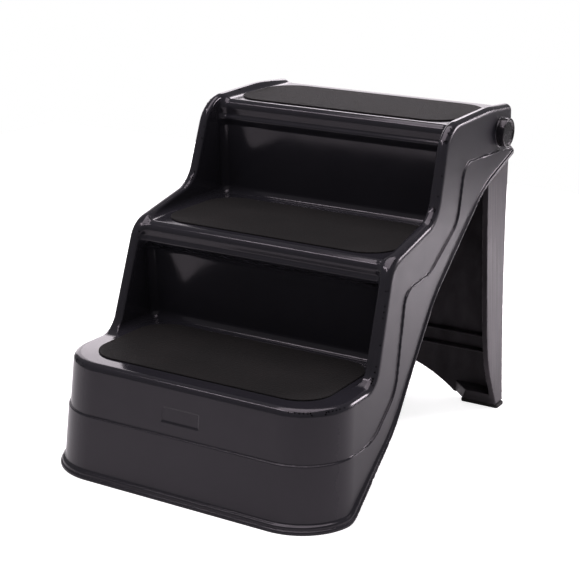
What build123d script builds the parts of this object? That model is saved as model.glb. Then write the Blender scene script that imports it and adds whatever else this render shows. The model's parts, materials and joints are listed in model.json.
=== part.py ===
from build123d import *
import os

# Three-step folding pet stair: a moulded stair body and a rear support that swings on two pins.
#
# Frame: millimetres, +Z up, X across the stair, Y from the front edge to the back.
# The origin is on the floor, under the middle of the stair's overall box.

# Overall size
DEPTH = 500                  # front lip to rear lip
HALF_WIDTH = 189             # lip, at the floor
FRONT = -DEPTH / 2
WALL = 3                     # moulded wall

# Stair: tread heights, and the nosing and riser of each step, measured from the front edge
TREAD_LOW, TREAD_MID, TREAD_TOP = 132, 258, 380
NOSE_MID, RISER_MID = 168, 197
NOSE_TOP, RISER_TOP = 332, 348
NOSE_RADIUS = 11
ROOT_RADIUS = 10

# Side walls: lip and skirt stand out from the wall, and all of it tapers upwards
LIP_OUT = 7
SKIRT_OUT = 2
REAR_LIP_OUT = 3
LIP_HEIGHT = 9
SIDE_TAPER = 0.04            # sideways, for each mm up
FRONT_TAPER = 0.09           # backwards, for each mm up
FRONT_CORNER = 62
REAR_CORNER = 10
BLOCK_TOP = 420
INNER_HALF = 154             # between the rails, at the rail's crest
INNER_TAPER = 0.03
RAIL_CREST = 390
CREST_RADIUS = 7

# Hinge: pivot axis, pin and the stack of parts on it
HINGE_Y, HINGE_Z = 458, 355
PIN_RADIUS = 6
HEAD_RADIUS = 18
HEAD_THICK = 9
PAD_FACE = 169.4             # outer boss, where the pin's head rests
BOSS_FACE = 165.0            # inner boss, where the washer rests
BOSS_RADIUS = 15
PIN_CLEARANCE = 0.08
WASHER_RADIUS = 13
WASHER_THICK = 1.8
PIN_TIP = 145
RETAINER_RADIUS = 11
RETAINER_THICK = 2

# Rear support: flange outer face at the hinge and at the floor, and how far it bows in between
FLANGE_OUT = 162.8
FOOT_OUT = 184.6
FLANGE_BOW = 3
FLANGE_THICK = 3
PANEL_THICK = 3.5
HUB_RADIUS = 20
HUB_BOSS_RADIUS = 16
HUB_BOSS_LENGTH = 9
SUPPORT_TOP = 318            # panel's top edge, just under the rear wall
PANEL_REAR = 498             # panel's rear face at its top edge
FOOT_TOP = 20                # the closed box above each foot
FOOT_INNER = 136             # inner side of each foot
ARCH_HEIGHT = 44
SHOE_HEIGHT = 5
SHOE_WALL = 4

# Mats and pads
MAT_THICK = 1.6
MAT_CORNER = 38
MAT_HALF = 149
FOOT_FRONT, FOOT_REAR = 456.5, 475
PAD_LENGTH, PAD_WIDTH, PAD_HEIGHT = 44, 16, 6

PAD_X, PAD_Y = 100, 22       # middle of each front pad
WASHER_IN = FLANGE_OUT + 0.2
HUB_BOSS_IN = FLANGE_OUT - FLANGE_THICK - HUB_BOSS_LENGTH
RETAINER_OUT = HUB_BOSS_IN - 0.3
ARCH_HALF = 124
RIM_THICK, RIM_WIDTH, RIM_TOP = 3, 7, 312
SHELF_THICK = 2.5
SHELVES = ((66, 9), (86, 9), (SUPPORT_TOP - 10, 18))     # height and depth of each rib

# Webs under the treads
RIB_PLACES = (-105, -35, 35, 105)
CROSS_RIB_PLACES = (150, 285, 400)
RIB_THICK = 2.5
RIB_DEPTH = 15

# Blank badge recess on the front face
BADGE_WIDTH, BADGE_LOW, BADGE_HIGH, BADGE_DEEP = 47, 88, 104, 0.8

# Mats: name, front edge, back edge and tread height
MATS = (("lower", 44, 184, TREAD_LOW), ("middle", 188, 330, TREAD_MID), ("upper", 348, 474, TREAD_TOP))

FAR = 80                     # how far cutting shapes run past the body


def stair_points(points, back=0, down=0):
    """Points given as (distance from the front edge, height), moved back and down."""
    return [(FRONT + y + back, z - down) for y, z in points]


def tapered_block(side, rear):
    """The stair's outer envelope, grown by side at the front and sides, and by rear at the back."""
    with BuildPart() as block:
        for z in (-FAR, BLOCK_TOP):
            half = HALF_WIDTH - LIP_OUT - SIDE_TAPER * z + side
            front = FRONT + LIP_OUT + FRONT_TAPER * z - side
            back = FRONT + DEPTH - REAR_LIP_OUT + rear
            with BuildSketch(Plane.XY.offset(z)) as outline:
                with Locations((0, (front + back) / 2)):
                    Rectangle(2 * half, back - front)
                corners = outline.vertices().group_by(Axis.Y)
                fillet(corners[0], FRONT_CORNER + side)
                fillet(corners[-1], REAR_CORNER + rear)
        loft(ruled=True)
    return block.part


def between_rails(grow):
    """The wedge of space between the two rails, grown sideways into their walls."""
    low, high = 60, 460
    with BuildPart() as wedge:
        with BuildSketch(Plane.XZ.offset(-DEPTH)):
            low_half = INNER_HALF + INNER_TAPER * (RAIL_CREST - low) + grow
            high_half = INNER_HALF + INNER_TAPER * (RAIL_CREST - high) + grow
            with BuildLine():
                Polyline((-low_half, low), (low_half, low), (high_half, high), (-high_half, high), close=True)
            make_face()
        extrude(amount=2 * DEPTH)
    return wedge.part


def region(points, radii, back=0, down=0):
    """A closed side-view outline with rounded corners, drawn across the whole width."""
    with BuildPart() as slab:
        with BuildSketch(Plane.YZ):
            with BuildLine():
                FilletPolyline(*stair_points(points, back, down), radius=radii, close=True)
            make_face()
        extrude(amount=HALF_WIDTH + FAR, both=True)
    return slab.part


# Side-view outlines, each a loop of (distance from the front, height) with a radius per corner
CREST = [(-FAR, TREAD_LOW), (126, TREAD_LOW), (166, 259), (277, 285), (308, 385),
         (420, RAIL_CREST), (DEPTH - 1, RAIL_CREST - 2), (DEPTH - 1, -FAR), (-FAR, -FAR)]
CREST_RADII = [0, 26, 34, 36, 44, 300, 17, 0, 0]

STEPS = [(100, TREAD_LOW), (RISER_MID, TREAD_LOW), (184, 226), (172, 236), (NOSE_MID, TREAD_MID),
         (RISER_TOP, TREAD_MID), (337, 350), (333, 358), (NOSE_TOP, TREAD_TOP),
         (DEPTH + FAR, TREAD_TOP), (DEPTH + FAR, 500), (100, 500)]
STEPS_RADII = [0, ROOT_RADIUS, 12, 5, NOSE_RADIUS, ROOT_RADIUS, 6, 5, NOSE_RADIUS, 0, 0, 0]

# The lower edge: flat on the floor in front, then an S-curve up to the rear wall
LOWER = [(-FAR, 0), (64, 0), (165, 71), (268, 196), (400, 294), (DEPTH + FAR, 352),
         (DEPTH + FAR, -FAR), (-FAR, -FAR)]
LOWER_RADII = [0, 34, 170, 190, 170, 0, 0, 0]

# The ledge where the proud skirt begins, level in front and stepped like the rails behind
LEDGE = [(-FAR, 73), (118, 73), (172, 113), (197, 221), (258, 227), (332, 270), (350, 336),
         (DEPTH + FAR, 330), (DEPTH + FAR, -FAR), (-FAR, -FAR)]
LEDGE_RADII = [0, 60, 45, 24, 60, 34, 24, 0, 0, 0]


# A flange of the rear support: wide at the hinge, curving in to a narrow foot
FLANGE = [(FOOT_REAR, 0), (PANEL_REAR, SUPPORT_TOP), (490, 321), (HINGE_Y + HUB_RADIUS, HINGE_Z),
          (HINGE_Y - HUB_RADIUS, HINGE_Z), (435, 290), (432.5, 62), (FOOT_FRONT, 0)]
FLANGE_RADII = [0, 2, 0, 0, 0, 300, 160, 0]


def stair_space(grow):
    """The open space over the treads, between the rails, grown into the moulded wall."""
    with BuildPart() as space:
        add(region(STEPS, STEPS_RADII, grow, grow))
        add(between_rails(grow), mode=Mode.INTERSECT)
    return space.part


def front_face(z):
    """Distance of the front wall from the front edge at a height."""
    return LIP_OUT + FRONT_TAPER * z


def flange_half(z):
    """Half the width over the support's flanges at a height."""
    up = z / HINGE_Z
    return FOOT_OUT + (FLANGE_OUT - FOOT_OUT) * up - 4 * FLANGE_BOW * up * (1 - up)


def panel_inner(z):
    """Y of the panel's inner face at a height: the panel leans forward towards the feet."""
    rear = FOOT_REAR + (PANEL_REAR - FOOT_REAR) * z / SUPPORT_TOP
    return FRONT + rear - PANEL_THICK


def hollow():
    """Everything inside the moulded wall: under the treads, behind the risers and up the rails."""
    with BuildPart() as space:
        add(tapered_block(-WALL, -WALL))
        add(region(CREST, CREST_RADII, WALL, WALL), mode=Mode.INTERSECT)
        add(stair_space(WALL), mode=Mode.SUBTRACT)
    return space.part


def skirt():
    """The proud lower part of the wall, up to the ledge."""
    with BuildPart() as band:
        add(tapered_block(SKIRT_OUT, REAR_LIP_OUT / 2))
        add(region(LEDGE, LEDGE_RADII), mode=Mode.INTERSECT)
        add(region(LOWER, LOWER_RADII), mode=Mode.SUBTRACT)
    return band.part


def lip():
    """The bead along the whole lower edge: a thin slice of the grown envelope."""
    with BuildPart() as bead:
        add(tapered_block(LIP_OUT, REAR_LIP_OUT))
        add(region(LOWER, LOWER_RADII, -LIP_HEIGHT * 0.7, -LIP_HEIGHT), mode=Mode.INTERSECT)
        add(region(LOWER, LOWER_RADII), mode=Mode.SUBTRACT)
    return bead.part


def underside_ribs():
    """Shallow webs under the treads and behind the risers, lengthwise and across."""
    with BuildPart() as webs:
        for x in RIB_PLACES:
            with Locations((x, 0, BLOCK_TOP / 2)):
                Box(RIB_THICK, DEPTH, BLOCK_TOP)
        for y in CROSS_RIB_PLACES:
            with Locations((0, FRONT + y, BLOCK_TOP / 2)):
                Box(2 * INNER_HALF, RIB_THICK, BLOCK_TOP)
        add(region(STEPS, STEPS_RADII, RIB_DEPTH, RIB_DEPTH), mode=Mode.INTERSECT)
        add(region(STEPS, STEPS_RADII, WALL - 1, WALL - 1), mode=Mode.SUBTRACT)
        add(tapered_block(-1, -1), mode=Mode.INTERSECT)
        add(region(CREST, CREST_RADII, 1, 1), mode=Mode.INTERSECT)
        add(region(LOWER, LOWER_RADII, -4, -4), mode=Mode.SUBTRACT)
    return webs.part


def disc(radius, start, end):
    """A disc about the hinge axis, from one distance out along X to another."""
    with BuildPart() as drum:
        with BuildSketch(Plane.YZ.offset(start)):
            with Locations((FRONT + HINGE_Y, HINGE_Z)):
                Circle(radius)
        extrude(amount=end - start)
    return drum.part


def both_sides(right):
    """A right-hand shape together with its mirror image."""
    with BuildPart() as pair:
        add(right)
        mirror(right, about=Plane.YZ)
    return pair.part


def crest_edges(shape):
    """The outer edges along the rails' crest and round the lowest step, up to the rear wall."""
    rear = FRONT + DEPTH - REAR_LIP_OUT
    high = [edge for edge in shape.edges() if edge.bounding_box().min.Z > TREAD_LOW - 1]
    return [edge for edge in high if abs(edge.center().Y - rear) > CREST_RADIUS + 1]


def save(part, name):
    part.label = name
    export_step(part, f"parts/{name}.step")


def save_pair(right, name):
    """Writes a right-hand piece and its mirror image under two names."""
    save(right, f"{name}_right")
    with BuildPart() as left:
        mirror(right, about=Plane.YZ)
    save(left.part, f"{name}_left")


os.makedirs("parts", exist_ok=True)

# ---- stair body: one moulding ----
with BuildPart() as step_shell:
    add(tapered_block(0, 0))
    add(region(CREST, CREST_RADII), mode=Mode.INTERSECT)
    fillet(crest_edges(step_shell), CREST_RADIUS)
    add(region(LOWER, LOWER_RADII), mode=Mode.SUBTRACT)
    add(skirt())
    add(lip())
    add(stair_space(0), mode=Mode.SUBTRACT)
    add(hollow(), mode=Mode.SUBTRACT)
    add(underside_ribs())
    # ledges that the front pads are stuck to
    for x in (-PAD_X, PAD_X):
        with Locations((x, FRONT + PAD_Y, PAD_HEIGHT + WALL / 2)):
            Box(PAD_LENGTH + 6, PAD_WIDTH + 8, WALL)
    # blank badge recess on the front face
    with BuildSketch(Plane.YZ):
        with BuildLine():
            Polyline(*stair_points([(front_face(z) + out, z) for z, out in
                                    ((BADGE_LOW, -5), (BADGE_LOW, BADGE_DEEP),
                                     (BADGE_HIGH, BADGE_DEEP), (BADGE_HIGH, -5))]), close=True)
        make_face()
    extrude(amount=BADGE_WIDTH / 2, both=True, mode=Mode.SUBTRACT)
    # hinge bosses and pin holes
    add(both_sides(disc(HEAD_RADIUS + 2, BOSS_FACE + 1, PAD_FACE)))
    add(both_sides(disc(BOSS_RADIUS, BOSS_FACE, BOSS_FACE + 2)))
    add(both_sides(disc(WASHER_RADIUS + 1, BOSS_FACE - 4, BOSS_FACE)), mode=Mode.SUBTRACT)
    add(both_sides(disc(PIN_RADIUS + PIN_CLEARANCE, BOSS_FACE - 5, PAD_FACE + 5)), mode=Mode.SUBTRACT)
save(step_shell.part, "step_shell")

# ---- grip mats, one on each tread ----
for name, front, back, level in MATS:
    with BuildPart() as mat:
        with BuildSketch(Plane.XY.offset(level)):
            with Locations((0, FRONT + (front + back) / 2)):
                RectangleRounded(2 * MAT_HALF, back - front, MAT_CORNER)
        extrude(amount=MAT_THICK)
    save(mat.part, f"tread_mat_{name}")

# ---- hinge pins, washers and retainers ----
with BuildPart() as hinge_pin:
    add(disc(HEAD_RADIUS, PAD_FACE, PAD_FACE + HEAD_THICK))
    fillet(hinge_pin.edges().group_by(Axis.X)[-1], 2.5)
    add(disc(HEAD_RADIUS - 6, PAD_FACE + HEAD_THICK - 1, PAD_FACE + HEAD_THICK), mode=Mode.SUBTRACT)
    add(disc(PIN_RADIUS, PIN_TIP, PAD_FACE))
    chamfer(hinge_pin.edges().group_by(Axis.X)[0], 1)
save_pair(hinge_pin.part, "hinge_pin")

with BuildPart() as hinge_washer:
    add(disc(WASHER_RADIUS, WASHER_IN, WASHER_IN + WASHER_THICK))
    add(disc(PIN_RADIUS + PIN_CLEARANCE, WASHER_IN - 1, WASHER_IN + WASHER_THICK + 1), mode=Mode.SUBTRACT)
save_pair(hinge_washer.part, "hinge_washer")

with BuildPart() as hinge_retainer:
    add(disc(RETAINER_RADIUS, RETAINER_OUT - RETAINER_THICK, RETAINER_OUT))
    add(disc(PIN_RADIUS, RETAINER_OUT - RETAINER_THICK - 1, RETAINER_OUT + 1), mode=Mode.SUBTRACT)
save_pair(hinge_retainer.part, "hinge_retainer")


# ---- rear support ----
def support_wedge(inset):
    """The support's width: bowed sides that flare towards the feet, less inset on each side."""
    top = HINGE_Z + HUB_RADIUS + 5
    low, middle, high = [(flange_half(z) - inset, z) for z in (0, top / 2, top)]
    with BuildPart() as wedge:
        with BuildSketch(Plane.XZ.offset(-DEPTH)):
            with BuildLine():
                ThreePointArc(low, middle, high)
                Line(high, (-high[0], top))
                ThreePointArc((-high[0], top), (-middle[0], middle[1]), (-low[0], 0))
                Line((-low[0], 0), low)
            make_face()
        extrude(amount=2 * DEPTH)
    return wedge.part


def between_flanges():
    """The space in front of the panel and over its top edge, between the two flanges."""
    with BuildPart() as space:
        inner = [(FRONT + 350, -FAR), (panel_inner(-FAR), -FAR), (panel_inner(SUPPORT_TOP), SUPPORT_TOP),
                 (FRONT + DEPTH + FAR, SUPPORT_TOP), (FRONT + DEPTH + FAR, 450), (FRONT + 350, 450)]
        with BuildSketch(Plane.YZ):
            with BuildLine():
                Polyline(*inner, close=True)
            make_face()
        extrude(amount=HALF_WIDTH, both=True)
        add(support_wedge(FLANGE_THICK), mode=Mode.INTERSECT)
    return space.part


def front_rim():
    """The inward return along the front edge of each flange."""
    with BuildPart() as rim:
        add(region(FLANGE, FLANGE_RADII))
        add(region(FLANGE, FLANGE_RADII, RIM_THICK, 0), mode=Mode.SUBTRACT)
        add(support_wedge(0), mode=Mode.INTERSECT)
        add(support_wedge(RIM_WIDTH), mode=Mode.SUBTRACT)
        with Locations((0, 0, RIM_TOP + 200)):
            Box(2 * HALF_WIDTH, 2 * DEPTH, 400, mode=Mode.SUBTRACT)
    return rim.part


def shelf(height, depth):
    """A horizontal rib across the panel's inner face."""
    with BuildPart() as rib:
        with BuildSketch(Plane.XY.offset(height)):
            back = panel_inner(height) + 1
            with Locations((0, back - (depth + 1) / 2)):
                Rectangle(2 * (flange_half(height) - 1), depth + 1)
        extrude(amount=SHELF_THICK)
    return rib.part


def foot_boxes():
    """The closed box above each foot."""
    with BuildPart() as feet:
        add(region(FLANGE, FLANGE_RADII))
        add(support_wedge(0), mode=Mode.INTERSECT)
        with Locations((0, 0, FOOT_TOP + 200)):
            Box(2 * FOOT_INNER, 2 * DEPTH, 1000, mode=Mode.SUBTRACT)
            Box(2 * HALF_WIDTH, 2 * DEPTH, 400, mode=Mode.SUBTRACT)
    return feet.part


with BuildPart() as rear_support:
    add(region(FLANGE, FLANGE_RADII))
    add(disc(HUB_RADIUS, -HALF_WIDTH, HALF_WIDTH))
    add(support_wedge(0), mode=Mode.INTERSECT)
    add(between_flanges(), mode=Mode.SUBTRACT)
    add(front_rim())
    for height, depth in SHELVES:
        add(shelf(height, depth))
    add(foot_boxes())
    # arch between the feet
    with BuildSketch(Plane.XZ.offset(-DEPTH)):
        with BuildLine():
            ThreePointArc((-ARCH_HALF, 0), (0, ARCH_HEIGHT), (ARCH_HALF, 0))
            Line((ARCH_HALF, 0), (-ARCH_HALF, 0))
        make_face()
    extrude(amount=2 * DEPTH, mode=Mode.SUBTRACT)
    # hubs and the holes that turn on the pins
    add(both_sides(disc(HUB_BOSS_RADIUS, HUB_BOSS_IN, FLANGE_OUT - 1)))
    add(both_sides(disc(WASHER_RADIUS + 1, FLANGE_OUT, FLANGE_OUT + 4)), mode=Mode.SUBTRACT)
    add(both_sides(disc(PIN_RADIUS + PIN_CLEARANCE, HUB_BOSS_IN - 2, FLANGE_OUT + 2)), mode=Mode.SUBTRACT)
    # the feet stand in their shoes
    with Locations((0, 0, SHOE_HEIGHT - 50)):
        Box(2 * HALF_WIDTH, 2 * DEPTH, 100, mode=Mode.SUBTRACT)
save(rear_support.part, "rear_support")

# ---- shoes under the support's feet, pads under the stair's front edge ----
with BuildPart() as rear_foot_shoe:
    with BuildSketch():
        with Locations(((FOOT_INNER + flange_half(0)) / 2, FRONT + (FOOT_FRONT + FOOT_REAR) / 2)):
            RectangleRounded(flange_half(0) - FOOT_INNER + 2 * SHOE_WALL,
                             FOOT_REAR - FOOT_FRONT + 2 * SHOE_WALL, 4)
    extrude(amount=SHOE_HEIGHT)
save_pair(rear_foot_shoe.part, "rear_foot_shoe")

with BuildPart() as front_foot_pad:
    with BuildSketch():
        with Locations((PAD_X, FRONT + PAD_Y)):
            RectangleRounded(PAD_LENGTH, PAD_WIDTH, 4)
    extrude(amount=PAD_HEIGHT)
save_pair(front_foot_pad.part, "front_foot_pad")
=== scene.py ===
import json
import math

import bpy
import numpy as np
from mathutils import Matrix, Vector


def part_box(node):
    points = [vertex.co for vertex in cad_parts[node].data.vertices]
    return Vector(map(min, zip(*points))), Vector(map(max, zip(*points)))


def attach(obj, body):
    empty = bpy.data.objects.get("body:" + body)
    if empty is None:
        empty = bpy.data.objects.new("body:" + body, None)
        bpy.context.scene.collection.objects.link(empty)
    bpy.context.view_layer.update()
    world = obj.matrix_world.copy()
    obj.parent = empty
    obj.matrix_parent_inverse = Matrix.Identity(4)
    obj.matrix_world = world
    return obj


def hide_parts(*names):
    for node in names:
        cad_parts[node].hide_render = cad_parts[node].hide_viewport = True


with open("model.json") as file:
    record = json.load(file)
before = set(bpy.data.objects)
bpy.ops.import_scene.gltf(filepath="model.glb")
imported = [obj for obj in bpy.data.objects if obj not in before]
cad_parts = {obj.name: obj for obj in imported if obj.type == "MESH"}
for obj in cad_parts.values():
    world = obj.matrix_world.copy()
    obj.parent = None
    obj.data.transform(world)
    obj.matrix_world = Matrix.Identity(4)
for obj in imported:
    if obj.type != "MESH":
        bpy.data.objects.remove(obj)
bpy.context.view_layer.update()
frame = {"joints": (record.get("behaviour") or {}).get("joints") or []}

# Shapes are drawn in millimetres: x across, y back from the stair's front edge, z up from the floor.
MM = 0.001
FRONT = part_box("step_shell")[0].y
DEPTH = (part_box("step_shell")[1].y - FRONT) / MM
hinge = Vector(frame["joints"][0]["pos_m"])
HINGE_Y, HINGE_Z = (hinge.y - FRONT) / MM, hinge.z / MM

# Outer wall: half width and front face at the floor, and how both lean in with height
WALL = 3
WALL_HALF, SIDE_TAPER = 182, 0.04
WALL_FRONT, FRONT_TAPER = 7, 0.09
WALL_BACK = DEPTH - 3
FRONT_CORNER, REAR_CORNER = 62, 10
SKIRT_OUT = 2
LIP_OUT, LIP_HEIGHT = 7, 9
BOSS_RADIUS, BOSS_OUT = 17, 169.3
WEB_HALF = 1.25
BADGE_HALF_WIDTH, BADGE_HALF_HEIGHT, BADGE_MIDDLE, BADGE_DEEP = 23.5, 8, 96, 0.8

# Space between the rails
INNER_HALF, INNER_TAPER, RAIL_CREST = 154, 0.03, 390
CREST_RADIUS, INNER_RADIUS, TREAD_FILLET = 7.5, 4, 9

TREAD_LOW, TREAD_MID, TREAD_TOP = 132, 258, 380
FAR = 80

# Side-view outlines, each a loop of (y, z, corner radius) that runs clockwise
CREST = [(-FAR, TREAD_LOW, 1), (126, TREAD_LOW, 26), (166, 259, 34), (277, 285, 36), (308, 385, 44),
         (430, 389, 260), (DEPTH - 1, 384, 7), (DEPTH - 1, -FAR, 1), (-FAR, -FAR, 1)]
STEPS = [(100, TREAD_LOW, 1), (197, TREAD_LOW, 10), (184, 226, 12), (171.5, 232, 4), (168, 236.5, 3.4),
         (171, 241, 3), (168, TREAD_MID, 10), (348, TREAD_MID, 10), (337, 349, 6), (331.8, 357, 3.4),
         (334.8, 361.5, 3), (332, TREAD_TOP, 10),
         (DEPTH + FAR, TREAD_TOP, 1), (DEPTH + FAR, 500, 1), (100, 500, 1)]
LOWER = [(-FAR, 0, 1), (64, 0, 34), (165, 71, 170), (268, 196, 190), (400, 294, 170),
         (DEPTH + FAR, 352, 1), (DEPTH + FAR, -FAR, 1), (-FAR, -FAR, 1)]
LEDGE = [(-FAR, 73, 1), (118, 73, 60), (172, 113, 45), (197, 221, 24), (258, 227, 60), (332, 270, 34),
         (350, 336, 24), (DEPTH + FAR, 330, 1), (DEPTH + FAR, -FAR, 1), (-FAR, -FAR, 1)]


# ---- distance fields ----
def rounded_loop(corners):
    """The straight runs and the arcs of a closed outline with rounded corners, taken anticlockwise."""
    points = [np.array(c[:2], float) for c in corners]
    radii = [c[2] for c in corners]
    area = sum(a[0] * b[1] - b[0] * a[1] for a, b in zip(points, points[1:] + points[:1]))
    if area < 0:
        points, radii = points[::-1], radii[::-1]
    runs, arcs, ends = [], [], []
    for i, (corner, radius) in enumerate(zip(points, radii)):
        into = corner - points[i - 1]
        out = points[(i + 1) % len(points)] - corner
        into, out = into / np.hypot(*into), out / np.hypot(*out)
        turn = math.atan2(into[0] * out[1] - into[1] * out[0], into @ out)
        reach = radius * math.tan(abs(turn) / 2)
        start, end = corner - into * reach, corner + out * reach
        side = math.copysign(1, turn)
        centre = start + side * radius * np.array((-into[1], into[0]))
        middle = corner - centre
        arcs.append((centre, radius, side, middle / np.hypot(*middle), math.cos(turn / 2)))
        ends.append((start, end))
    for (_, a), (b, _) in zip(ends, ends[1:] + ends[:1]):
        runs.append((a, b))
    return runs, arcs


def loop_distance(loop, y, z):
    """Signed distance from (y, z) to a rounded loop, negative inside."""
    runs, arcs = loop
    best = np.full(np.broadcast(y, z).shape, 1e6)
    for a, b in runs:
        along = b - a
        length = max(np.hypot(*along), 1e-6)
        along = along / length
        reach = np.clip((y - a[0]) * along[0] + (z - a[1]) * along[1], 0, length)
        off_y, off_z = y - a[0] - reach * along[0], z - a[1] - reach * along[1]
        side = np.where(along[0] * off_z - along[1] * off_y > 0, -1, 1)
        near = side * np.hypot(off_y, off_z)
        best = np.where(np.abs(near) < np.abs(best), near, best)
    for centre, radius, side, middle, spread in arcs:
        off_y, off_z = y - centre[0], z - centre[1]
        reach = np.hypot(off_y, off_z)
        near = side * (reach - radius)
        within = off_y * middle[0] + off_z * middle[1] > reach * spread
        best = np.where(within & (np.abs(near) < np.abs(best)), near, best)
    return best


def round_and(a, b, radius):
    """Where both fields are solid, with the outer edge rounded."""
    grown = np.hypot(np.maximum(a + radius, 0), np.maximum(b + radius, 0))
    return np.minimum(-radius, np.maximum(a, b)) + grown


def round_or(a, b, radius):
    """Where either field is solid, with a fillet between them."""
    return -round_and(-a, -b, radius)


def corner_distance(off_u, off_v):
    """Distance to a square corner, from the distances past each of its two sides."""
    outside = np.hypot(np.maximum(off_u, 0), np.maximum(off_v, 0))
    return outside + np.minimum(np.maximum(off_u, off_v), 0)


def rounded_bar(u, v, low, high, radius):
    """Distance to a rectangle in (u, v) from corner low to corner high."""
    off_u = np.abs(u - (low[0] + high[0]) / 2) - (high[0] - low[0]) / 2 + radius
    off_v = np.abs(v - (low[1] + high[1]) / 2) - (high[1] - low[1]) / 2 + radius
    return corner_distance(off_u, off_v) - radius


def grid_lines(low, high, step, fine=()):
    """Grid lines from low to high, closer within the fine spans, and clear of flat faces."""
    lines, at = [], low - 2 * step + 0.137
    while at < high + 3 * step:
        lines.append(at)
        at += step / 2 if any(a < at < b for a, b in fine) else step
    return np.array(lines)


def surface_net(field, axes):
    """Points and quads of a field's zero surface on a grid of boxes."""
    value = field(*np.ix_(*axes))
    strides = np.array([value.shape[1] * value.shape[2], value.shape[2], 1])
    inside = value < 0
    flat = value.ravel()
    quads, places = [], []
    for axis in range(3):
        near = [slice(None)] * 3
        far = [slice(None)] * 3
        near[axis], far[axis] = slice(0, -1), slice(1, None)
        at = np.stack(np.nonzero(inside[tuple(near)] != inside[tuple(far)]), 1)
        start = at @ strides
        before, after = flat[start], flat[start + strides[axis]]
        point = at.astype(float)
        point[:, axis] += before / (before - after)
        first, second = strides[(axis + 1) % 3], strides[(axis + 2) % 3]
        around = np.stack([start, start - first, start - first - second, start - second], 1)
        flip = before >= 0
        around[flip] = around[flip, ::-1]
        quads.append(around)
        places.append(np.repeat(point, 4, axis=0))
    quads, places = np.concatenate(quads), np.concatenate(places)
    _, index = np.unique(quads.ravel(), return_inverse=True)
    count = np.bincount(index)
    middle = np.stack([np.bincount(index, places[:, k]) / count for k in range(3)], 1)
    middle = [np.interp(middle[:, k], np.arange(len(axes[k])), axes[k]) for k in range(3)]
    return np.stack(middle, 1), index.reshape(-1, 4)


def slope(field, points, reach=0.2):
    """The field's gradient at points, from four samples round each."""
    total = np.zeros_like(points)
    for corner in ((1, -1, -1), (-1, -1, 1), (-1, 1, -1), (1, 1, 1)):
        sample = points + np.array(corner) * reach
        total += np.outer(field(*sample.T), corner)
    return total / (4 * reach)


def settle(field, points, limit):
    """Moves points onto the field's zero surface."""
    for _ in range(2):
        gradient = slope(field, points)
        move = field(*points.T) / np.maximum((gradient ** 2).sum(1), 0.25)
        points = points - np.clip(move, -limit, limit)[:, None] * gradient
    return points


def relax(points, quads, times):
    """Evens out the spacing of a mesh's points."""
    starts, ends = quads.ravel(), np.roll(quads, -1, axis=1).ravel()
    starts, ends = np.concatenate([starts, ends]), np.concatenate([ends, starts])
    count = np.bincount(starts, minlength=len(points))
    for _ in range(times):
        total = [np.bincount(starts, points[ends, k], len(points)) for k in range(3)]
        points = points + 0.7 * (np.stack(total, 1) / count[:, None] - points)
    return points


def to_frame(points):
    """Drawing millimetres to the frame's metres."""
    return np.asarray(points, float) * MM + [0, FRONT, 0]


def new_object(name, data):
    """A new object in the scene."""
    made = bpy.data.objects.new(name, data)
    bpy.context.scene.collection.objects.link(made)
    return made


def moulding(name, field, axes, step, most=None):
    """A mesh of a field's surface, with at most so many triangles and its own exact normals."""
    points, quads = surface_net(field, axes)
    points = settle(field, relax(points, quads, 3), step)
    mesh = bpy.data.meshes.new(name)
    mesh.from_pydata(points.tolist(), [], quads.tolist())
    piece = new_object(name, mesh)
    if most and 2 * len(quads) > most:
        thin = piece.modifiers.new("thin", "DECIMATE")
        thin.ratio = most / (2 * len(quads))
        bpy.context.view_layer.update()
        evaluated = piece.evaluated_get(bpy.context.evaluated_depsgraph_get())
        thinned = bpy.data.meshes.new_from_object(evaluated)
        piece.modifiers.clear()
        piece.data = thinned
        bpy.data.meshes.remove(mesh)
        mesh = thinned
        mesh.name = name
        points = np.zeros(len(mesh.vertices) * 3)
        mesh.vertices.foreach_get("co", points)
        points = settle(field, points.reshape(-1, 3), step / 2)
    points[:, 2] = np.maximum(points[:, 2], 0)
    normals = slope(field, points)
    normals /= np.maximum(np.linalg.norm(normals, axis=1), 1e-9)[:, None]
    mesh.vertices.foreach_set("co", to_frame(points).ravel())
    mesh.shade_smooth()
    mesh.normals_split_custom_set_from_vertices(normals.tolist())
    mesh.update()
    return piece


def mark_textured(piece):
    """Marks where the side walls were textured in the mould, away from their rounded edges."""
    mesh = piece.data
    normals = np.zeros(len(mesh.vertices) * 3)
    mesh.vertex_normals.foreach_get("vector", normals)
    places = np.zeros(len(mesh.vertices) * 3)
    mesh.vertices.foreach_get("co", places)
    facing = normals.reshape(-1, 3)[:, 0] * np.sign(places.reshape(-1, 3)[:, 0])
    textured = mesh.attributes.new("textured", "FLOAT", "POINT")
    textured.data.foreach_set("value", np.clip((facing - 0.75) / 0.2, 0, 1))


# ---- stair shell ----
crest_loop, steps_loop = rounded_loop(CREST), rounded_loop(STEPS)
lower_loop, ledge_loop = rounded_loop(LOWER), rounded_loop(LEDGE)


def outer_wall(x, y, z):
    """Distance to the tapered block that the stair's outer walls follow."""
    half = WALL_HALF - SIDE_TAPER * z
    front = WALL_FRONT + FRONT_TAPER * z
    middle, reach = (front + WALL_BACK) / 2, (WALL_BACK - front) / 2
    corner = np.where(y < middle, FRONT_CORNER, REAR_CORNER)
    off_x, off_y = np.abs(x) - half + corner, np.abs(y - middle) - reach + corner
    return corner_distance(off_x, off_y) - corner


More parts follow.
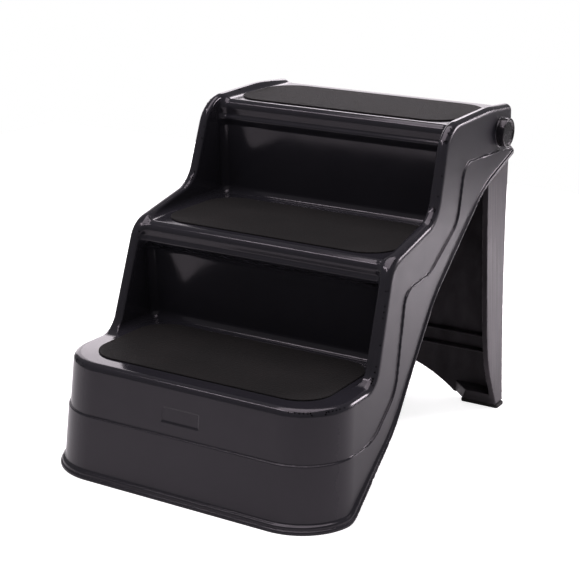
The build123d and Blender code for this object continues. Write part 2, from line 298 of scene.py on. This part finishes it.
def shell(x, y, z):
    outer = outer_wall(x, y, z)
    # a blank badge recess in the front wall
    badge = np.maximum(np.abs(x) - BADGE_HALF_WIDTH, np.abs(z - BADGE_MIDDLE) - BADGE_HALF_HEIGHT)
    outer = outer + np.where(y < 60, BADGE_DEEP * np.clip(0.5 - badge / 1.4, 0, 1), 0)
    crest, steps = loop_distance(crest_loop, y, z), loop_distance(steps_loop, y, z)
    lower, ledge = loop_distance(lower_loop, y, z), loop_distance(ledge_loop, y, z)
    from_hinge = np.hypot(y - HINGE_Y, z - HINGE_Z)
    side = np.abs(x)
    # rails, treads and risers
    boss = round_and(from_hinge - BOSS_RADIUS, side - BOSS_OUT, 0.5)
    block = round_or(round_and(outer, crest, CREST_RADIUS), boss, 1)
    rails = side - INNER_HALF - INNER_TAPER * (RAIL_CREST - z)
    space = round_and(steps, rails, TREAD_FILLET)
    edge = INNER_RADIUS * np.clip((y - 116) / 40, 0, 1)
    body = round_and(block, -space, edge)
    wall = np.maximum(body, -(body + WALL))
    # the proud skirt under the ledge
    back = y - DEPTH + 1.5
    skirt = np.maximum(outer - SKIRT_OUT, -(outer + WALL / 2))
    skirt = np.maximum(round_and(skirt, ledge, 1.2), back)
    wall = round_or(wall, skirt, 0.8)
    # webs under the treads
    webs = np.minimum(np.abs(np.abs(side - 70) - 35), np.abs(y - 150))
    webs = np.minimum(webs, np.minimum(np.abs(y - 285), np.abs(y - 400)))
    webs = np.maximum(round_and(webs - WEB_HALF, steps - 15, 0.8), np.maximum(body + 1, 4 - lower))
    wall = np.minimum(wall, webs)
    # lower edge and its lip of two beads
    wall = np.maximum(wall, -lower)
    beads = np.minimum(rounded_bar(outer, lower, (-1.5, 0), (LIP_OUT, 4.6), 1.6),
                       rounded_bar(outer, lower, (-1.5, 3.6), (LIP_OUT - 1.6, LIP_HEIGHT), 2))
    thin = np.clip((y - 80) / 130, 0, 1)
    beads = beads + thin * (rounded_bar(outer, lower, (-1.5, 0), (4.4, 4.4), 1.8) - beads)
    wall = round_or(wall, np.maximum(beads, y - DEPTH), 2.5 - 1.3 * thin)
    return wall


# ---- rear support ----
# Side view of a flange, clockwise like the outlines above
FLANGE = [(475, 0, 1), (498, 318, 2), (490, 321, 1), (HINGE_Y + 20, HINGE_Z, 1), (HINGE_Y - 20, HINGE_Z, 1),
          (435, 290, 300), (432.5, 62, 160), (456.5, 0, 1)]
FLANGE_OUT, FOOT_OUT, FLANGE_BOW, FLANGE_THICK = 162.8, 184.6, 3, 3
PANEL_TOP, PANEL_THICK = 318, 3.5
ARCH_HALF, ARCH_HEIGHT = 124, 44
ARCH_RADIUS = (ARCH_HALF ** 2 + ARCH_HEIGHT ** 2) / (2 * ARCH_HEIGHT)
SHELVES = [(66, 9), (86, 9), (PANEL_TOP - 10, 18)]
HUB_RADIUS, HUB_MIDDLE, HUB_HALF = 16, 156.3, 5.5
SHOE_HEIGHT = 5
flange_loop = rounded_loop(FLANGE)


def support(x, y, z):
    side = np.abs(x)
    from_hinge = np.hypot(y - HINGE_Y, z - HINGE_Z)
    up = z / HINGE_Z
    half = FOOT_OUT + (FLANGE_OUT - FOOT_OUT) * up - 4 * FLANGE_BOW * up * (1 - up)
    panel = 475 + 23 * z / PANEL_TOP - PANEL_THICK
    leaf = loop_distance(flange_loop, y, z)
    leaf_back = loop_distance(flange_loop, y - 3, z)
    # flanges and panel, hollow to the front
    body = round_and(np.minimum(leaf, from_hinge - 20), side - half, 1.4)
    space = np.maximum(np.minimum(y - panel, PANEL_TOP - z), side - half + FLANGE_THICK)
    body = round_and(body, -space, 0.7)
    # hub bosses, the front edges' returns, shelves and foot boxes
    hub = round_and(np.abs(side - HUB_MIDDLE) - HUB_HALF, from_hinge - HUB_RADIUS, 0.8)
    rim = np.maximum(np.maximum(leaf, -leaf_back), np.maximum(side - half, half - 7 - side))
    rim = np.maximum(rim, z - 312)
    body = round_or(np.minimum(body, rim), hub, 1.2)
    for height, depth in SHELVES:
        shelf = round_and(panel - depth - y, np.abs(z - height - 1.25) - 1.25, 0.6)
        body = round_or(body, np.maximum(shelf, np.maximum(y - panel - 1, side - half + 1)), 0.8)
    feet = np.maximum(np.maximum(leaf, side - half), np.maximum(592.5 - y - side, z - 20))
    body = np.minimum(body, feet)
    # arch, pin holes, washer seats and the flat soles
    body = round_and(body, ARCH_RADIUS - np.hypot(x, z - ARCH_HEIGHT + ARCH_RADIUS), 0.7)
    body = np.maximum(body, -np.maximum(from_hinge - 14, FLANGE_OUT - side))
    return np.maximum(np.maximum(body, 6.1 - from_hinge), SHOE_HEIGHT - z)


# ---- small mouldings ----
def cushion(middle, size, corner, edge, grooves=0):
    """A flat block with rounded corners and edges, and shallow grooves across its underside."""
    def field(x, y, z):
        off_x = np.abs(x - middle[0]) - size[0] / 2 + corner
        off_y = np.abs(y - middle[1]) - size[1] / 2 + corner
        block = round_and(corner_distance(off_x, off_y) - corner, np.abs(z - middle[2]) - size[2] / 2, edge)
        if grooves:
            wave = np.abs((x - middle[0] + grooves / 2) % grooves - grooves / 2) - 1
            block = np.maximum(block, -np.maximum(wave, z - middle[2] + size[2] / 2 - 0.9))
        return block
    return field


def turned(name, profile, sign):
    """A ring about the hinge axis from a closed profile of (distance out, radius)."""
    turns = 96
    points, faces = [], []
    for k in range(turns):
        angle = 2 * math.pi * k / turns
        for out, radius in profile:
            points.append((sign * out, HINGE_Y + radius * math.cos(angle),
                           HINGE_Z + radius * math.sin(angle)))
    count = len(profile)
    for k in range(turns):
        for i in range(count):
            a, b = k * count + i, k * count + (i + 1) % count
            c, d = (k + 1) % turns * count + (i + 1) % count, (k + 1) % turns * count + i
            faces.append((a, b, c, d) if sign > 0 else (d, c, b, a))
    mesh = bpy.data.meshes.new(name)
    mesh.from_pydata(to_frame(points).tolist(), [], faces)
    mesh.shade_smooth()
    return new_object(name, mesh)


def eased(corners, steps=6):
    """A closed profile with its corners rounded: each corner is (distance out, radius, rounding)."""
    points = []
    for i, (out, radius, easing) in enumerate(corners):
        here = np.array((out, radius))
        before = np.array(corners[i - 1][:2]) - here
        after = np.array(corners[(i + 1) % len(corners)][:2]) - here
        before, after = before / np.hypot(*before), after / np.hypot(*after)
        for k in range(steps + 1):
            t = k / steps
            points.append(here + easing * ((1 - t) ** 2 * before + t ** 2 * after))
    return points


# Profiles about the hinge axis, each a loop of (distance out, radius, rounding)
PIN_HEAD = [(145, 0.05, 0.02), (178, 0.05, 0.02), (177.3, 13.8, 0.7), (178.5, 14.8, 0.4),
            (178.5, 17.9, 1.4), (169.5, 18, 0.6), (169.5, 6, 0.3), (145, 6, 0.9)]
WASHER_RING = [(163, 6.1, 0.2), (164.8, 6.1, 0.2), (164.8, 13, 0.4), (163, 13, 0.4)]
RETAINER_RING = [(148.5, 6.05, 0.3), (150.5, 6.05, 0.3), (150.5, 10.9, 0.5), (149.4, 11, 0.5),
                 (148.5, 9.6, 0.4)]


# ---- pieces ----
def place(piece, body, node, slot):
    """Hands a finished piece to a body in place of a CAD node."""
    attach(piece, body)
    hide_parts(node)
    return piece


step = 2
axes = (grid_lines(-189, 189, step, ((-27, -20), (20, 27))),
        grid_lines(0, 500, step, ((166, 174), (330, 338))),
        grid_lines(0, 390, step, ((-1, 12), (68, 78), (85, 91), (101, 107), (230, 243), (350, 364))))
step_shell = moulding("shell_skin", shell, axes, step, 190000)
mark_textured(step_shell)
shells = [place(step_shell, "stair", "step_shell", "gloss_shell")]

axes = (grid_lines(-186, 186, step, ((-170, -148), (148, 170))),
        grid_lines(430, 500, step / 2),
        grid_lines(4, 376, step, ((63, 71), (83, 91), (305, 320), (333, 377))))
rear_support = moulding("support_skin", support, axes, step, 120000)
supports = [place(rear_support, "support", "rear_support", "satin_support")]

mats = []
for name, front, back, level in (("lower", 44, 184, TREAD_LOW), ("middle", 188, 330, TREAD_MID),
                                 ("upper", 348, 474, TREAD_TOP)):
    field = cushion((0, (front + back) / 2, level + 0.8), (298, back - front, 1.6), 38, 0.7)
    axes = (grid_lines(-150, 150, 2), grid_lines(front, back, 2), grid_lines(level, level + 1.6, 0.4))
    piece = moulding(f"mat_{name}", field, axes, 0.4, 40000)
    mats.append(place(piece, "stair", f"tread_mat_{name}", "grip_mat"))

caps, washers, rings, rubber = [], [], [], []
for side, sign in (("right", 1), ("left", -1)):
    caps.append(place(turned(f"pin_{side}", eased(PIN_HEAD), sign), "stair", f"hinge_pin_{side}", "pin_cap"))
    washers.append(place(turned(f"washer_{side}", eased(WASHER_RING), sign), "stair",
                         f"hinge_washer_{side}", "washer_plastic"))
    rings.append(place(turned(f"retainer_{side}", eased(RETAINER_RING), sign), "stair",
                       f"hinge_retainer_{side}", "spring_steel"))
    field = cushion((sign * 100, 22, 3), (44, 16, 6), 4, 1.2, 6)
    low, high = sorted((sign * 78, sign * 122))
    axes = (grid_lines(low, high, 0.8), grid_lines(14, 30, 0.8), grid_lines(0, 6, 0.5))
    pad = moulding(f"pad_{side}", field, axes, 0.5)
    rubber.append(place(pad, "stair", f"front_foot_pad_{side}", "foot_rubber"))
    field = cushion((sign * 160.3, 465.75, 2.5), (51, 21, 5), 3, 1.4)
    low, high = sorted((sign * 132, sign * 188.6))
    axes = (grid_lines(low, high, 0.8), grid_lines(452.5, 479, 0.8), grid_lines(0, 5, 0.5))
    shoe = moulding(f"shoe_{side}", field, axes, 0.5)
    rubber.append(place(shoe, "support", f"rear_foot_shoe_{side}", "foot_rubber"))


# ---- materials ----
def noise(tree, coords, scale, detail=2.0, stretch=None):
    """Fractal noise over the object, in features per metre."""
    if stretch:
        mapping = tree.nodes.new("ShaderNodeMapping")
        mapping.inputs["Scale"].default_value = stretch
        tree.links.new(coords, mapping.inputs["Vector"])
        coords = mapping.outputs["Vector"]
    node = tree.nodes.new("ShaderNodeTexNoise")
    node.inputs["Scale"].default_value = scale
    node.inputs["Detail"].default_value = detail
    tree.links.new(coords, node.inputs["Vector"])
    return node.outputs["Fac"]


def remap(tree, value, low, high, out_low, out_high):
    """A value's span from low to high stretched over another span."""
    node = tree.nodes.new("ShaderNodeMapRange")
    for name, number in (("From Min", low), ("From Max", high), ("To Min", out_low), ("To Max", out_high)):
        node.inputs[name].default_value = number
    tree.links.new(value, node.inputs["Value"])
    return node.outputs["Result"]


def combine(tree, operation, a, b):
    node = tree.nodes.new("ShaderNodeMath")
    node.operation = operation
    for socket, value in zip(node.inputs, (a, b)):
        if isinstance(value, (int, float)):
            socket.default_value = value
        else:
            tree.links.new(value, socket)
    return node.outputs["Value"]


def mix(tree, a, b, share):
    """The sum of share of a and the rest of b."""
    return combine(tree, "ADD", combine(tree, "MULTIPLY", a, share), combine(tree, "MULTIPLY", b, 1 - share))


def blend_colours(tree, factor, low, high):
    ramp = tree.nodes.new("ShaderNodeValToRGB")
    ramp.color_ramp.elements[0].color = (*low, 1)
    ramp.color_ramp.elements[1].color = (*high, 1)
    tree.links.new(factor, ramp.inputs["Fac"])
    return ramp.outputs["Color"]


def bump(tree, height, distance, below=None):
    node = tree.nodes.new("ShaderNodeBump")
    node.inputs["Distance"].default_value = distance
    tree.links.new(height, node.inputs["Height"])
    if below:
        tree.links.new(below, node.inputs["Normal"])
    return node.outputs["Normal"]


def finish_material(name, ior=1.5, tint=(1, 1, 1)):
    """A new material's node tree, its shader and its object coordinates."""
    material = bpy.data.materials.new(name)
    material.use_nodes = True
    tree = material.node_tree
    shader = tree.nodes["Principled BSDF"]
    shader.inputs["IOR"].default_value = ior
    shader.inputs["Specular Tint"].default_value = (*tint, 1)
    coords = tree.nodes.new("ShaderNodeTexCoord").outputs["Object"]
    return material, tree, shader, coords


PLASTIC_TINT = (1.0, 0.93, 0.99)


def moulded_plastic(name, dark, pale, rough_low, rough_high, grain, wave, matted=0):
    """Black moulded plastic: faint mottling, uneven polish, fine scratches, moulding waves and grain.
    matted is the roughness of outside walls, where the mesh says that the mould was textured."""
    material, tree, shader, coords = finish_material(name, 1.4, PLASTIC_TINT)
    mottle = noise(tree, coords, 14, 4)
    tree.links.new(blend_colours(tree, mottle, dark, pale), shader.inputs["Base Color"])
    polish = noise(tree, coords, 35, 5)
    scratches = noise(tree, coords, 60, 3, (1, 14, 14))
    rough = remap(tree, mix(tree, polish, scratches, 0.7), 0.35, 0.65, rough_low, rough_high)
    if matted:
        mask = tree.nodes.new("ShaderNodeAttribute")
        mask.attribute_name = "textured"
        added = combine(tree, "MULTIPLY", mask.outputs["Fac"], matted - rough_low)
        rough = combine(tree, "ADD", rough, added)
    tree.links.new(rough, shader.inputs["Roughness"])
    waves = bump(tree, noise(tree, coords, 9, 1), wave)
    tree.links.new(bump(tree, noise(tree, coords, 900, 2), grain, waves), shader.inputs["Normal"])
    return material


def drawn_plastic():
    """Satin black plastic with faint vertical drag lines where it was pulled from the mould."""
    material, tree, shader, coords = finish_material("satin_black", 1.5, PLASTIC_TINT)
    lines = noise(tree, coords, 60, 4, (1, 6, 0.12))
    cloud = noise(tree, coords, 18, 3)
    tone = remap(tree, mix(tree, lines, cloud, 0.6), 0.35, 0.65, 0, 1)
    tree.links.new(blend_colours(tree, tone, (0.014, 0.0125, 0.014), (0.042, 0.037, 0.042)),
                   shader.inputs["Base Color"])
    tree.links.new(remap(tree, lines, 0.35, 0.65, 0.34, 0.48), shader.inputs["Roughness"])
    rough = bump(tree, noise(tree, coords, 1100, 2), 0.00005)
    tree.links.new(bump(tree, lines, 0.0004, rough), shader.inputs["Normal"])
    return material


def grip_mat():
    """Charcoal mat with a fine crushed grit, a little worn and dusty in places."""
    material, tree, shader, coords = finish_material("grip_mat")
    speckle = noise(tree, coords, 620, 3)
    worn = noise(tree, coords, 16, 4)
    cells = tree.nodes.new("ShaderNodeTexVoronoi")
    cells.inputs["Scale"].default_value = 480
    tree.links.new(coords, cells.inputs["Vector"])
    tone = remap(tree, mix(tree, speckle, worn, 0.75), 0.38, 0.62, 0, 1)
    tree.links.new(blend_colours(tree, tone, (0.0015, 0.0012, 0.0012), (0.0085, 0.0068, 0.0066)),
                   shader.inputs["Base Color"])
    tree.links.new(remap(tree, speckle, 0.3, 0.7, 0.72, 0.95), shader.inputs["Roughness"])
    shader.inputs["Specular IOR Level"].default_value = 0.22
    shader.inputs["Sheen Weight"].default_value = 0.05
    shader.inputs["Sheen Roughness"].default_value = 0.4
    grit = bump(tree, cells.outputs["Distance"], 0.0005)
    tree.links.new(bump(tree, speckle, 0.0007, grit), shader.inputs["Normal"])
    return material


def foot_rubber():
    """Black rubber with dust in its pores."""
    material, tree, shader, coords = finish_material("foot_rubber")
    pores = noise(tree, coords, 300, 4)
    tree.links.new(blend_colours(tree, pores, (0.008, 0.008, 0.008), (0.028, 0.026, 0.025)),
                   shader.inputs["Base Color"])
    tree.links.new(remap(tree, pores, 0.3, 0.7, 0.7, 0.9), shader.inputs["Roughness"])
    tree.links.new(bump(tree, pores, 0.0003), shader.inputs["Normal"])
    return material


def spring_steel():
    """Bright spring steel, brushed round the ring."""
    material, tree, shader, coords = finish_material("spring_steel")
    shader.inputs["Metallic"].default_value = 1
    brushed = noise(tree, coords, 90, 3, (20, 1, 1))
    tree.links.new(blend_colours(tree, brushed, (0.32, 0.32, 0.33), (0.5, 0.5, 0.5)),
                   shader.inputs["Base Color"])
    tree.links.new(remap(tree, brushed, 0.3, 0.7, 0.25, 0.42), shader.inputs["Roughness"])
    tree.links.new(bump(tree, brushed, 0.0001), shader.inputs["Normal"])
    return material


gloss = moulded_plastic("gloss_black", (0.015, 0.0145, 0.018), (0.021, 0.02, 0.025), 0.1, 0.16,
                        0.00002, 0.0006, matted=0.28)
satin = drawn_plastic()
cap = moulded_plastic("pin_cap", (0.006, 0.0055, 0.007), (0.011, 0.01, 0.012), 0.16, 0.26,
                      0.00003, 0.0002)
washer = moulded_plastic("washer_plastic", (0.02, 0.02, 0.02), (0.035, 0.034, 0.034), 0.5, 0.65,
                         0.00006, 0.0001)
finishes = ((shells, gloss), (supports, satin), (mats, grip_mat()), (caps, cap), (washers, washer),
            (rings, spring_steel()), (rubber, foot_rubber()))
for pieces, material in finishes:
    for piece in pieces:
        piece.data.materials.append(material)


# ---- stage, light and camera ----
def white_floor():
    bpy.ops.mesh.primitive_plane_add(size=1, location=(0, 0, 0))
    floor = bpy.context.object
    floor.name = "floor"
    floor.scale = (3.0, 2.6, 1)
    floor.location = (0, 0.1, 0)
    material, tree, shader, coords = finish_material("white_floor")
    tree.links.new(blend_colours(tree, noise(tree, coords, 3, 2), (0.86, 0.86, 0.86), (0.9, 0.9, 0.9)),
                   shader.inputs["Base Color"])
    shader.inputs["Roughness"].default_value = 0.9
    shader.inputs["Emission Color"].default_value = (1, 1, 1, 1)
    ray = tree.nodes.new("ShaderNodeLightPath").outputs["Is Camera Ray"]
    tree.links.new(remap(tree, ray, 0, 1, 0, 0.8), shader.inputs["Emission Strength"])
    floor.data.materials.append(material)


def softbox(name, place, aim, width, height, glow):
    """A rectangular light that shines towards a point. Its glow is its brightness seen in a mirror."""
    light = bpy.data.lights.new(name, "AREA")
    light.shape = "RECTANGLE"
    light.size, light.size_y = width, height
    light.energy = glow * math.pi * width * height
    light.color = (1.0, 0.925, 0.985)
    panel = new_object(name, light)
    panel.location = place
    panel.rotation_euler = (Vector(aim) - Vector(place)).to_track_quat("-Z", "Y").to_euler()
    panel.visible_camera = False


def studio_world(seen, lit):
    """White to the camera, dim to everything else."""
    world = bpy.data.worlds.new("studio")
    bpy.context.scene.world = world
    world.use_nodes = True
    tree = world.node_tree
    ray = tree.nodes.new("ShaderNodeLightPath").outputs["Is Camera Ray"]
    tree.links.new(remap(tree, ray, 0, 1, lit, seen), tree.nodes["Background"].inputs["Strength"])
    tree.nodes["Background"].inputs["Color"].default_value = (1, 1, 1, 1)


def place_camera():
    data = bpy.data.cameras.new("camera")
    data.sensor_width = 36
    data.lens = 92.587
    camera = new_object("camera", data)
    azimuth, elevation, roll = math.radians(30.21), math.radians(17.09), math.radians(0.99)
    away = Vector((math.sin(azimuth) * math.cos(elevation), -math.cos(azimuth) * math.cos(elevation),
                   math.sin(elevation)))
    level = (-away).cross(Vector((0, 0, 1))).normalized()
    upright = level.cross(-away)
    right = level * math.cos(roll) + upright * math.sin(roll)
    up = upright * math.cos(roll) - level * math.sin(roll)
    turn = Matrix((right, up, away)).transposed().to_4x4()
    camera.matrix_world = Matrix.Translation((0.84756, -1.46047, 0.69858)) @ turn
    bpy.context.scene.camera = camera


white_floor()
softbox("overhead", (0, 0, 2.4), (0, 0, 0), 1.9, 2.2, 3.6)
softbox("back", (-0.6, 1.75, 0.5), (0, 0, 0.3), 1.9, 0.8, 1.5)
softbox("left_back", (-1.75, 1.3, 0.7), (0, 0, 0.3), 0.9, 1.4, 2.0)
softbox("top_back", (-0.8, 1.8, 1.2), (0.05, 0.15, 0.39), 0.8, 0.5, 5.0)
softbox("front_strip", (-0.5, -1.0, 2.0), (0, -0.1, 0.2), 1.6, 0.14, 12.0)
softbox("right_pool", (0.85, 1.02, 0.6), (0.68, 0.94, 0), 0.5, 0.5, 18.0)
studio_world(1.0, 0.2)
place_camera()
bpy.context.scene.view_settings.view_transform = "Standard"
